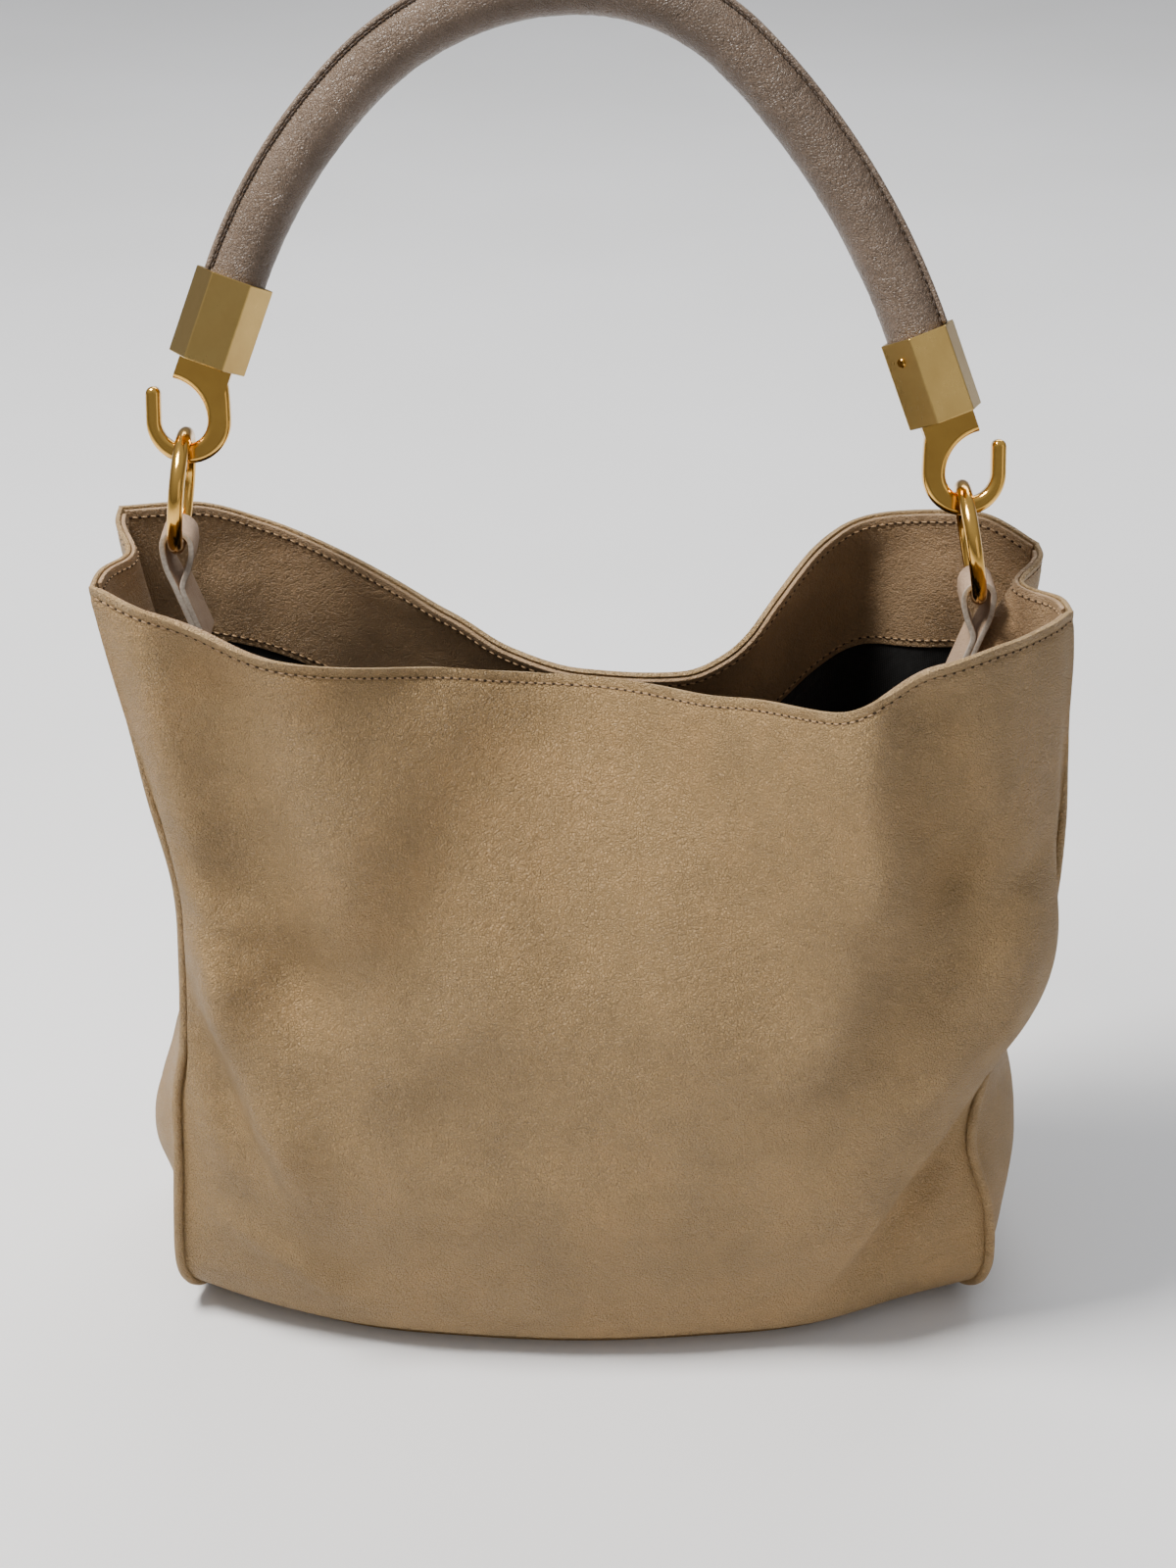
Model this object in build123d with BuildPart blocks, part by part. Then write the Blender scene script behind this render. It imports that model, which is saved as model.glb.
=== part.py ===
from build123d import *
from collections import namedtuple
from math import cos, radians, sin
import os

os.makedirs("parts", exist_ok=True)

# A slouchy leather shoulder bag.  X runs across the bag, +Y points to its back,
# +Z is up, and the origin is on the floor under the middle of the base.
# Every length is in millimetres and every angle in degrees.

# ---- The bag's outline ----
bend_height = 30  # where the rounded lower corners end
rim_top = 333  # height the leather is cut from before the mouth is trimmed
rim_at_seam = 331  # height of the mouth's corners
seam_half_width = 170  # side seams' distance from the middle, at bend_height
mouth_half_width = 188  # the same at rim_top
seam_half_depth = 57.5  # side seams' distance from the middle in Y, at bend_height
mouth_half_depth = 42  # the same at rim_top
corner_radius = 27.5  # lower corners of the side panels
lobe_share = 0.6  # how far out the mouth is widest, as a share of the half width

# ---- Layers of the wall, measured inward from the outside face ----
leather = 2.0
lining = 0.8
facing = 1.4
layer_gap = 0.3
lining_inset = leather + layer_gap
facing_inset = lining_inset + lining + layer_gap
facing_height = 62
facing_drop = 1  # facing's edge below the outer leather's
lining_overlap = 8  # lining tucked up behind the facing
board = 2.0
facing_trim = 9  # how far each layer stops short of the side seams
lining_trim = 5
board_trim = 6
gusset_dip = 4  # how far the side panels' edge sags between its corners

# ---- Piping, rings and tabs ----
piping_radius = 2.0
piping_tuck = 1  # how far the piping's middle is set in from the seams
ring_radius = 22
wire_radius = 3
strap = 2.4
strap_width = 22
tab_fold = 4.6  # inside radius of the tab's fold round the wire
tab_lift = 2.1  # the fold's centre above the wire's centre
tab_hem = -4  # where the tab's two layers start to come together
tab_slope = 19  # how far the joined layers lean from upright
tab_pinch = 10.5  # the gap between the layers closes this far below the wire
tab_length = 27.5  # joined layers below the pinch

# ---- Handle hardware ----
hook_rise = 27  # hook's bend above the ring's centre
hook_bend = 9.0
hook_depth = 7
ferrule_tilt = 20
ferrule_flats = 26.8
ferrule_length = 34.5
ferrule_wall = 4
ferrule_bore = 12.3
stem_radius = 3
nut_flats = 10
nut_height = 4
pin_radius = 1.0
pin_length = 5.0
pin_clearance = 0.15
pin_drop = 8  # the pin's axis below the ferrule's rim
pin_head_radius = 1.9
pin_head = 0.7

# ---- The two ends, which hang a little differently ----
# side: -1 left or 1 right.  ring_x, ring_z: the ring's centre.  ring_tilt: how far its
# foot leans outward.  hook_x: the hook's bend.  turn, pin_turn: turn of the ferrule's
# hexagon and of its pin about the ferrule's own axis.
End = namedtuple("End", "side ring_x ring_z ring_tilt hook_x turn pin_turn")
ends = {
    "left": End(-1, 156, 357, 6, 154, 30, 300),
    "right": End(1, 153, 335, 10, 151.4, 40, 130),
}

# ---- Handle ----
apex_z = 549
handle_lean = 18  # how far the handle leans back about the rings
handle_radius = 12.1
cover = 1.6
skin_gap = 0.1  # between the cover, the core and the welt
handle_tuck = 20  # length of handle inside each ferrule
knee_angle = 45  # steepness where the handle's tighter curve takes over
welt_radius = 1.3
welt_turn = 35  # how far the welt sits round from the outer side toward the front


# Height, half depth at the mouth's lobes, half depth in the middle, and half
# width at the fold of the side panel.
stations = [
    (2.5, 63, 65, 164),
    (10, 73, 76, 172),
    (30, 80, 82, 178),
    (85, 82, 84, 182),
    (150, 80, 74, 168),
    (225, 76, 40, 150),
    (285, 75, 10, 163),
    (rim_top, 73, 10, 178),
]


def seam_x(z):
    rise = (z - bend_height) / (rim_top - bend_height)
    return seam_half_width + rise * (mouth_half_width - seam_half_width)


def seam_y(z):
    rise = (z - bend_height) / (rim_top - bend_height)
    return seam_half_depth + rise * (mouth_half_depth - seam_half_depth)


def rounded_seam_y(z):
    """Half depth of the side seam, following the rounded lower corner."""
    if z >= bend_height:
        return seam_y(z)
    drop = bend_height - z
    return seam_half_depth - corner_radius + max(corner_radius**2 - drop**2, 0) ** 0.5


def rim_curve(drop=0, side=0):
    """The scooped mouth as seen from the front, lowered by drop."""
    half = mouth_half_width - side
    return [
        (-half, rim_at_seam - drop),
        (-150, 325 - drop),
        (-105, 309 - drop),
        (-55, 290 - drop),
        (0, 282 - drop),
        (55, 290 - drop),
        (105, 309 - drop),
        (150, 325 - drop),
        (half, rim_at_seam - drop),
    ]


# ---- Front and back walls ----


def wall_section(station, inset, thickness):
    """Closed outline of one layer of the front wall at one height."""
    z, lobe, middle, _ = station
    half = seam_x(z)
    depths = [rounded_seam_y(z), lobe, middle, lobe, rounded_seam_y(z)]
    places = [-half, -lobe_share * half, 0, lobe_share * half, half]
    outer = [(x, -y + inset) for x, y in zip(places, depths)]
    inner = [(x, y + thickness) for x, y in outer]
    Spline(*outer)
    Line(outer[-1], inner[-1])
    Spline(*inner)
    Line(inner[0], outer[0])


def front_layer(inset, thickness, side, foot, top_drop, foot_drop=None):
    """One layer of the front wall between its lower edge and the mouth."""
    with BuildPart() as layer:
        for station in stations:
            with BuildSketch(Plane.XY.offset(station[0])):
                with BuildLine():
                    wall_section(station, inset, thickness)
                make_face()
        loft()
        with BuildSketch(Plane.XZ):
            with BuildLine():
                top = Spline(*rim_curve(top_drop, side))
                if foot_drop is None:
                    bottom = Line((-seam_x(foot) + side, foot), (seam_x(foot) - side, foot))
                else:
                    bottom = Spline(*rim_curve(foot_drop, side))
                Line(top @ 0, bottom @ 0)
                Line(top @ 1, bottom @ 1)
            make_face()
        extrude(amount=seam_half_width, both=True, mode=Mode.INTERSECT)
    return layer.part


def export_front_and_back(name, front):
    front.label = "front_" + name
    back = mirror(front, about=Plane.XZ, mode=Mode.PRIVATE)
    back.label = "back_" + name
    export_step(front, "parts/" + front.label + ".step")
    export_step(back, "parts/" + back.label + ".step")


board_foot = leather + 2 * layer_gap
base_lining_foot = board_foot + board + layer_gap
lining_foot = base_lining_foot + lining + layer_gap
lining_drop = facing_height - lining_overlap

export_front_and_back("panel", front_layer(0, leather, 0, stations[0][0], 0))
export_front_and_back(
    "facing", front_layer(facing_inset, facing, facing_trim, 0, facing_drop, facing_height)
)
export_front_and_back(
    "lining", front_layer(lining_inset, lining, lining_trim, lining_foot, lining_drop)
)


# ---- Side panels, folded inward below the mouth ----


def gusset_section(station, inset, thickness):
    """Closed outline of one layer of the right side panel at one height."""
    z, _, _, fold = station
    edge = seam_x(z)
    half = seam_y(z)
    middle = (edge + fold) / 2
    outer = [
        (edge - inset, -half),
        (middle - inset, -half / 2),
        (fold - inset, 0),
        (middle - inset, half / 2),
        (edge - inset, half),
    ]
    inner = [(x - thickness, y) for x, y in outer]
    Spline(*outer)
    Line(outer[-1], inner[-1])
    Spline(*inner)
    Line(inner[0], outer[0])


def gusset_outline(side, foot, top, rounded):
    """The side panel's outline seen from the side."""
    half_top = seam_y(top) - side
    half_foot = seam_y(foot) - side
    corners = [(-half_top, top), (-half_foot, foot), (half_foot, foot), (half_top, top)]
    if rounded:
        FilletPolyline(*corners, radius=corner_radius - side)
    else:
        Polyline(*corners)
    ThreePointArc((-half_top, top), (0, top - gusset_dip), (half_top, top))


def gusset_layer(inset, thickness, side, foot, top, rounded=True):
    """One layer of the right side panel."""
    with BuildPart() as layer:
        for station in stations:
            with BuildSketch(Plane.XY.offset(station[0])):
                with BuildLine():
                    gusset_section(station, inset, thickness)
                make_face()
        loft(ruled=True)
        with BuildSketch(Plane.YZ):
            with BuildLine():
                gusset_outline(side, foot, top, rounded)
            make_face()
        extrude(amount=mouth_half_width + seam_half_depth, mode=Mode.INTERSECT)
    return layer.part


def export_left_and_right(name, right):
    right.label = "right_" + name
    left = mirror(right, about=Plane.YZ, mode=Mode.PRIVATE)
    left.label = "left_" + name
    export_step(right, "parts/" + right.label + ".step")
    export_step(left, "parts/" + left.label + ".step")


gusset_side = lining_inset + 1
facing_side = facing_inset + facing + layer_gap
lining_side = lining_inset + lining + layer_gap
gusset_foot = stations[0][0] + gusset_side
facing_foot = rim_at_seam - facing_height
lining_top = facing_foot + lining_overlap

export_left_and_right(
    "gusset", gusset_layer(0, leather, gusset_side, gusset_foot, rim_at_seam)
)
export_left_and_right(
    "gusset_facing",
    gusset_layer(
        facing_inset, facing, facing_side, facing_foot, rim_at_seam - facing_drop, rounded=False
    ),
)
export_left_and_right(
    "lining", gusset_layer(lining_inset, lining, lining_side, lining_foot, lining_top)
)


# ---- Base: leather outside, a stiffening board, and lining inside ----


def base_layer(name, low, thickness, inset):
    z, lobe, middle, _ = stations[0]
    half = seam_x(z) - inset
    corner = rounded_seam_y(z) - inset
    with BuildPart() as layer:
        with BuildSketch(Plane.XY.offset(low)):
            with BuildLine():
                front = Spline(
                    (-half, -corner),
                    (-lobe_share * half, -lobe + inset),
                    (0, -middle + inset),
                    (lobe_share * half, -lobe + inset),
                    (half, -corner),
                )
                back = mirror(front, about=Plane.XZ)
                Line(front @ 0, back @ 0)
                Line(front @ 1, back @ 1)
            make_face()
        extrude(amount=thickness)
    layer.part.label = name
    export_step(layer.part, "parts/" + name + ".step")


base_layer("base_panel", 0, leather, 0)
base_layer("base_board", board_foot, board, board_trim)
base_layer("base_lining", base_lining_foot, lining, lining_trim)


# ---- Piping round the seams of each side panel ----


def piping():
    """A cord down the front seam, under the side panel and up the back seam."""
    lean = (mouth_half_width - seam_half_width) / (rim_top - bend_height)
    out = seam_half_width + piping_radius + layer_gap
    seams = Plane(origin=(out, 0, bend_height), x_dir=(0, 1, 0), z_dir=(1, 0, -lean))
    half_top = seam_y(rim_at_seam) - piping_tuck
    half_foot = seam_y(0) - piping_tuck
    top = (rim_at_seam - bend_height) * (1 + lean**2) ** 0.5
    foot = piping_tuck - corner_radius
    with BuildPart() as tube:
        with BuildLine(seams) as path:
            FilletPolyline(
                (-half_top, top),
                (-half_foot, foot),
                (half_foot, foot),
                (half_top, top),
                radius=corner_radius - piping_tuck,
            )
        with BuildSketch(Plane(origin=path.line @ 0, z_dir=path.line % 0)):
            Circle(piping_radius)
        sweep(path=path.line)
    return tube.part


export_left_and_right("piping", piping())


# ---- Rings and the tabs that hold them ----


def ring(end):
    """A plain wire ring whose foot leans away from the middle of the bag."""
    lean = radians(end.ring_tilt)
    place = Plane(
        origin=(end.side * end.ring_x, 0, end.ring_z),
        x_dir=(0, 1, 0),
        z_dir=(cos(lean), 0, end.side * sin(lean)),
    )
    with BuildPart(place) as torus:
        Torus(ring_radius, wire_radius)
    return torus.part


def tab(end):
    """A strap folded over the foot of the ring, both ends running down inside."""
    lean = radians(end.ring_tilt)
    wire_x = end.ring_x + ring_radius * sin(lean)
    wire = (end.side * wire_x, 0, end.ring_z - ring_radius * cos(lean))
    outer = tab_fold + strap
    down = Vector(sin(radians(tab_slope)), -cos(radians(tab_slope)))
    across = Vector(down.Y, -down.X) * strap
    pinch = Vector(1, -tab_pinch)
    near, far = pinch - across, pinch + across
    end_near, end_far = near + down * tab_length, far + down * tab_length
    with BuildPart() as loop:
        with BuildSketch(Plane(origin=wire, x_dir=(-end.side, 0, 0), z_dir=(0, end.side, 0))):
            with BuildLine():
                ThreePointArc((-outer, tab_lift), (0, tab_lift + outer), (outer, tab_lift))
                Polyline(
                    (outer, tab_lift),
                    (outer, tab_hem),
                    (near.X, near.Y),
                    (end_near.X, end_near.Y),
                    (end_far.X, end_far.Y),
                    (far.X, far.Y),
                    (-outer, tab_hem),
                    (-outer, tab_lift),
                )
            make_face()
            with BuildLine():
                ThreePointArc((-tab_fold, tab_lift), (0, tab_lift + tab_fold), (tab_fold, tab_lift))
                Polyline(
                    (tab_fold, tab_lift),
                    (tab_fold, tab_hem),
                    (pinch.X, pinch.Y),
                    (-tab_fold, tab_hem),
                    (-tab_fold, tab_lift),
                )
            make_face(mode=Mode.SUBTRACT)
        extrude(amount=strap_width / 2, both=True)
    return loop.part


# ---- Hook, ferrule, pin and nut at each end of the handle ----


def hook_plane(end):
    """Hook's own plane: origin at its bend, x pointing to the middle of the bag."""
    return Plane(
        origin=(end.side * end.hook_x, 0, end.ring_z + hook_rise),
        x_dir=(-end.side, 0, 0),
        z_dir=(0, end.side, 0),
    )


ferrule_foot = (9.0, 22.0)  # middle of the ferrule's lower face in the hook's plane
ferrule_up = (sin(radians(ferrule_tilt)), cos(radians(ferrule_tilt)))


def along_ferrule(up, across=0.0):
    """A point in the hook's plane, up the ferrule's axis and across toward the middle."""
    x = ferrule_foot[0] + up * ferrule_up[0] + across * ferrule_up[1]
    y = ferrule_foot[1] + up * ferrule_up[1] - across * ferrule_up[0]
    return (x, y)


def ferrule_plane(end, up):
    """Plane square to the ferrule's axis at a height above its lower face."""
    x, y = along_ferrule(up)
    return Plane(
        origin=(end.side * (end.hook_x - x), 0, end.ring_z + hook_rise + y),
        x_dir=(0, 1, 0),
        z_dir=(-end.side * ferrule_up[0], 0, ferrule_up[1]),
    )


def hook(end):
    """Flat shouldered body that narrows into an open, outward-facing bend."""
    shoulder = 10.5  # half width of the flat block under the ferrule
    block = 9.5  # the block's height on its outer side
    step = 4.5  # the same on its inner side
    swell = 18  # how far the body bulges toward the middle of the bag
    tip = 10.5  # the open end's height above the bend's centre
    wire = 5.8  # width of the open end
    softened = 14  # edges are rounded up to this height above the bend
    with BuildPart() as body:
        with BuildSketch(hook_plane(end)):
            with BuildLine():
                inner = ThreePointArc((-hook_bend, 0), (0, -hook_bend), (hook_bend, 0))
                Line((-hook_bend, 0), (-hook_bend, tip))
                ThreePointArc(
                    (-hook_bend, tip), (-hook_bend - wire / 2, tip + wire / 2), (-hook_bend - wire, tip)
                )
                Line((-hook_bend - wire, tip), (-hook_bend - wire, 0))
                outer = TangentArc((-hook_bend - wire, 0), (swell, 0), tangent=(0, -1))
                TangentArc(outer @ 1, along_ferrule(-step, shoulder), tangent=(0, 1))
                Polyline(
                    along_ferrule(-step, shoulder),
                    along_ferrule(0, shoulder),
                    along_ferrule(0, -shoulder),
                    along_ferrule(-block, -shoulder),
                )
                TangentArc(inner @ 1, along_ferrule(-block, -shoulder), tangent=(0, 1))
            make_face()
        extrude(amount=hook_depth / 2, both=True)
        bend_edges = (
            body.faces()
            .filter_by(Axis.Y)
            .edges()
            .filter_by(lambda edge: edge.center().Z < end.ring_z + hook_rise + softened)
        )
        fillet(bend_edges, radius=2.2)
        with BuildSketch(ferrule_plane(end, -1)):
            Circle(stem_radius)
        extrude(amount=ferrule_wall + layer_gap + nut_height + 2)
    return body.part


def ferrule(end):
    """Hexagonal cap with a round bore for the handle and a hole for the hook's stem."""
    foot = ferrule_plane(end, layer_gap / 2)
    with BuildPart() as cap:
        with BuildSketch(foot):
            RegularPolygon(ferrule_flats / 2, 6, major_radius=False, rotation=end.turn)
        extrude(amount=ferrule_length)
        with BuildSketch(ferrule_plane(end, ferrule_wall)):
            Circle(ferrule_bore)
        extrude(amount=ferrule_length, mode=Mode.SUBTRACT)
        with BuildSketch(foot):
            Circle(stem_radius + layer_gap / 2)
        extrude(amount=ferrule_wall, mode=Mode.SUBTRACT)
        chamfer(cap.edges().filter_by(GeomType.LINE), length=0.3)
        with BuildSketch(pin_plane(end)):
            Circle(pin_radius + pin_clearance)
        extrude(amount=-pin_length, mode=Mode.SUBTRACT)
    return cap.part


def pin_plane(end):
    """Plane on the ferrule's flat where its pin goes in."""
    across = ferrule_plane(end, ferrule_length - pin_drop)
    turn = radians(end.pin_turn)
    outward = across.x_dir * cos(turn) + across.y_dir * sin(turn)
    reach = ferrule_flats / 2 + pin_clearance
    return Plane(origin=across.origin + outward * reach, z_dir=outward)


def ferrule_pin(end):
    """Small round-headed pin through one flat into the end of the handle."""
    flat = pin_plane(end)
    with BuildPart() as pin:
        with BuildSketch(flat):
            Circle(pin_head_radius)
        extrude(amount=pin_head)
        chamfer(pin.edges().sort_by(Axis(flat.origin, flat.z_dir))[-1], length=pin_head / 2)
        with BuildSketch(flat):
            Circle(pin_radius)
        extrude(amount=-pin_length)
    return pin.part


def hook_nut(end):
    """Nut that holds the hook's stem inside the ferrule."""
    with BuildPart() as nut:
        with BuildSketch(ferrule_plane(end, ferrule_wall + layer_gap)):
            RegularPolygon(nut_flats / 2, 6, major_radius=False)
            Circle(stem_radius + layer_gap / 2, mode=Mode.SUBTRACT)
        extrude(amount=nut_height)
    return nut.part


# ---- Handle: a padded leather tube with a stitched welt along its outer side ----


def handle_leg(end, outward=0.0):
    """Corner points, radii and centres of one leg of the handle's centre line."""
    x, y = along_ferrule(ferrule_length - handle_tuck, -outward)
    start = Vector(end.side * (end.hook_x - x), 0, end.ring_z + hook_rise + y)
    x, y = along_ferrule(ferrule_length + layer_gap, -outward)
    rim = Vector(end.side * (end.hook_x - x), 0, end.ring_z + hook_rise + y)
    x, y = along_ferrule(ferrule_length + layer_gap)
    span = end.hook_x - x
    rise = apex_z - end.ring_z - hook_rise - y
    low, knee = radians(ferrule_tilt), radians(knee_angle)
    a, b = cos(low) - cos(knee), cos(knee)
    c, d = sin(knee) - sin(low), 1 - sin(knee)
    wide = (span * d - b * rise) / (a * d - b * c) + outward
    tight = (a * rise - c * span) / (a * d - b * c) + outward
    across = -end.side
    bend = rim + Vector(across * wide * (cos(low) - cos(knee)), 0, wide * (sin(knee) - sin(low)))
    top = bend + Vector(across * tight * cos(knee), 0, tight * (1 - sin(knee)))
    upward = Vector(across * sin(low), 0, cos(low))
    inward = Vector(across * sin(knee), 0, cos(knee))
    return start, rim, bend, top, upward, inward


def handle_path(outward=0.0):
    left = handle_leg(ends["left"], outward)
    right = handle_leg(ends["right"], outward)
    with BuildLine() as path:
        Line(left[0], left[1])
        TangentArc(left[1], left[2], tangent=left[4])
        TangentArc(left[2], left[3], tangent=left[5])
        TangentArc(right[2], right[3], tangent=right[5])
        TangentArc(right[1], right[2], tangent=right[4])
        Line(right[0], right[1])
    return path.line


def handle_tube(path, radius, bore=0.0):
    with BuildPart() as tube:
        with BuildSketch(Plane(origin=path @ 0, z_dir=path % 0)):
            Circle(radius)
            if bore:
                Circle(bore, mode=Mode.SUBTRACT)
        sweep(path=path)
        for end in ends.values():
            with BuildSketch(pin_plane(end)):
                Circle(pin_radius + pin_clearance)
            extrude(amount=-pin_length - pin_clearance, mode=Mode.SUBTRACT)
    return tube.part


def welt_tube():
    """Raised seam along the outer front of the handle, between the ferrules."""
    reach = handle_radius + welt_radius + skin_gap
    turn = radians(welt_turn)
    path = handle_path(reach * cos(turn)).moved(Location((0, -reach * sin(turn), 0)))
    edges = path.edges().sort_by(Axis.X)
    with BuildPart() as tube:
        with BuildLine() as arcs:
            for edge in edges[1:-1]:
                add(edge)
        with BuildSketch(Plane(origin=arcs.line @ 0, z_dir=arcs.line % 0)):
            Circle(welt_radius)
        sweep(path=arcs.line)
    return tube.part


# ---- Export of the hanging and moving pieces ----


def export_piece(name, piece):
    piece.label = name
    export_step(piece, "parts/" + name + ".step")


def leaned(piece):
    """The piece turned back with the handle, about the line through both rings."""
    left, right = ends["left"], ends["right"]
    start = Vector(-left.ring_x, 0, left.ring_z)
    hinge = Axis(start, Vector(right.ring_x, 0, right.ring_z) - start)
    return piece.rotate(hinge, -handle_lean)


centre_line = handle_path()
core = handle_tube(centre_line, handle_radius - cover - skin_gap)
sleeve = handle_tube(centre_line, handle_radius, handle_radius - cover)
export_piece("handle_core", leaned(core))
export_piece("handle_cover", leaned(sleeve))
export_piece("handle_welt", leaned(welt_tube()))

for word, end in ends.items():
    export_piece(word + "_ring", ring(end))
    export_piece(word + "_tab", tab(end))
    export_piece(word + "_hook", leaned(hook(end)))
    export_piece(word + "_ferrule", leaned(ferrule(end)))
    export_piece(word + "_ferrule_pin", leaned(ferrule_pin(end)))
    export_piece(word + "_hook_nut", leaned(hook_nut(end)))
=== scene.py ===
"""A slouchy tan leather shoulder bag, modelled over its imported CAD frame.

Shapes are worked out in millimetres and turned to metres when a mesh is made.
X runs across the bag, +Y points to its back and +Z is up.
"""

from math import cos, pi, radians, sin

import bpy
import numpy as np
from mathutils import Matrix, Vector, noise


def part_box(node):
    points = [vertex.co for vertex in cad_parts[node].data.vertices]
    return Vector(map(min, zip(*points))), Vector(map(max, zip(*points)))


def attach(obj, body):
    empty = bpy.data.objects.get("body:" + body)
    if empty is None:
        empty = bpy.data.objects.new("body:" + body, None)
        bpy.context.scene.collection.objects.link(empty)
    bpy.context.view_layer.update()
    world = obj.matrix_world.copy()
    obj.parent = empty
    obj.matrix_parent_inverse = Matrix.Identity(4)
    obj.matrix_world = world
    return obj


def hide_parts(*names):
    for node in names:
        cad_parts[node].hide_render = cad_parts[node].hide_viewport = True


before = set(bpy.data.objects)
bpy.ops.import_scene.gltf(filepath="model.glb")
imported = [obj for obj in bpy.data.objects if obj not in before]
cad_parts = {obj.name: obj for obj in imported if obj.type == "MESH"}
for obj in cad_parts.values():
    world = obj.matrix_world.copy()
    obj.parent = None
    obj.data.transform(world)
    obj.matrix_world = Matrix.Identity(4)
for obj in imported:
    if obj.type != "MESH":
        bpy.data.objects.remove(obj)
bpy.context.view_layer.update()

MM = 0.001

# ---- Places and sizes taken from the frame ----
wall_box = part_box("front_panel")
mouth = wall_box[1].x / MM  # half width of the mouth
rim_top = wall_box[1].z / MM
foot = wall_box[0].z / MM
ring_boxes = {side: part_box(side + "_ring") for side in ("left", "right")}

# ---- Layers of the wall ----
leather = 2.0
facing = 1.7
lining = 0.8
facing_inset = leather + 0.25
lining_inset = leather + 0.15
facing_height = 62
lining_tuck = 8
foot_clear = 3
rim_stitch_drop = 4.2
stitch_pitch = 3.7


# ---- Smooth curves ----


def curve(*points):
    """Smooth function through (place, value) points that doesn't overshoot them."""
    places, values = np.array(points, float).T
    steps = np.diff(places)
    rises = np.diff(values) / steps
    slopes = np.zeros(len(places))
    same = rises[1:] * rises[:-1] > 0
    before, after = rises[:-1][same], rises[1:][same]
    slopes[1:-1][same] = 2 * before * after / (before + after)
    slopes[0], slopes[-1] = rises[0], rises[-1]

    def at(where):
        where = np.clip(where, places[0], places[-1])
        span = np.clip(np.searchsorted(places, where) - 1, 0, len(steps) - 1)
        t = (where - places[span]) / steps[span]
        start = (1 + 2 * t) * (1 - t) ** 2 * values[span]
        end = t * t * (3 - 2 * t) * values[span + 1]
        lean = t * (1 - t) ** 2 * slopes[span] - t * t * (1 - t) * slopes[span + 1]
        return start + end + lean * steps[span]

    return at


def bump(where, middle, width):
    return np.exp(-(((where - middle) / width) ** 2))


def fade(where, start, end):
    """0 at start, 1 at end, with soft ends."""
    t = np.clip((where - start) / (end - start), 0, 1)
    return t * t * (3 - 2 * t)


def relax(points, passes):
    """Evens out a grid of points, leaving its border where it is."""
    for _ in range(passes):
        inner = points[1:-1, 1:-1]
        around = points[2:, 1:-1] + points[:-2, 1:-1] + points[1:-1, 2:] + points[1:-1, :-2]
        points[1:-1, 1:-1] = 0.5 * inner + 0.125 * around
    return points


def grid_normals(points):
    along = np.gradient(points, axis=1)
    up = np.gradient(points, axis=0)
    normals = np.cross(along, up)
    return normals / np.maximum(np.linalg.norm(normals, axis=2, keepdims=True), 1e-9)


def outward_normals(points, sign, axis):
    """Normals turned to look the way that sign says along an axis."""
    normals = grid_normals(points)
    return normals * np.sign(np.mean(normals[..., axis]) * sign)


def soft_noise(points, size, seed):
    """Gentle lumps about size millimetres across, from -1 to 1."""
    shape = points.shape[:-1]
    flat = points.reshape(-1, 3) / size
    lumps = [noise.noise(Vector(p) + Vector((seed, 0, 0))) for p in flat]
    return np.array(lumps).reshape(shape)


# ---- Meshes ----


def place_mesh(name, points, faces, materials, kinds=None, wear=None):
    """New smooth-shaded object from points in millimetres."""
    mesh = bpy.data.meshes.new(name)
    mesh.from_pydata((np.asarray(points) * MM).tolist(), [], faces)
    for material in materials:
        mesh.materials.append(material)
    mesh.polygons.foreach_set("use_smooth", [True] * len(mesh.polygons))
    if kinds is not None:
        mesh.polygons.foreach_set("material_index", kinds)
    if wear is not None:
        layer = mesh.attributes.new("wear", "FLOAT", "POINT")
        layer.data.foreach_set("value", np.asarray(wear, np.float32).ravel())
    mesh.update()
    piece = bpy.data.objects.new(name, mesh)
    bpy.context.scene.collection.objects.link(piece)
    return piece


def grid_faces(rows, columns, closed=False):
    faces = []
    last = columns if closed else columns - 1
    for row in range(rows - 1):
        for column in range(last):
            a = row * columns + column
            b = row * columns + (column + 1) % columns
            faces.append((a, b, b + columns, a + columns))
    return faces


def shell(name, outer, thickness, materials, wear=None, edge=0.45, edge_material=0):
    """A sheet of real thickness whose outside face is the grid of points."""
    rows, columns, _ = outer.shape
    piece = place_mesh(name, outer.reshape(-1, 3), grid_faces(rows, columns), materials, wear=wear)
    solid = piece.modifiers.new("thickness", "SOLIDIFY")
    solid.thickness = thickness * MM
    solid.offset = -1
    solid.use_even_offset = False
    solid.material_offset_rim = edge_material
    soften = piece.modifiers.new("soft_edges", "BEVEL")
    soften.width = min(edge, thickness * 0.45) * MM
    soften.segments = 3
    soften.limit_method = "ANGLE"
    soften.angle_limit = radians(50)
    return piece


def unit(vectors):
    return vectors / np.linalg.norm(vectors, axis=1, keepdims=True)


def tangents_of(path):
    return unit(np.gradient(path, axis=0))


def lengths_along(path):
    """Distance of every point of a path from its start."""
    return np.concatenate([[0], np.cumsum(np.linalg.norm(np.diff(path, axis=0), axis=1))])


def points_at(stops, lengths, path):
    """Points of a path at given distances along it."""
    return np.stack([np.interp(stops, lengths, path[:, i]) for i in range(3)], 1)


def smooth_path(path, passes):
    """Evens out the corners of a path, leaving its ends where they are."""
    for _ in range(passes):
        path[1:-1] = 0.5 * path[1:-1] + 0.25 * (path[2:] + path[:-2])
    return path


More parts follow.
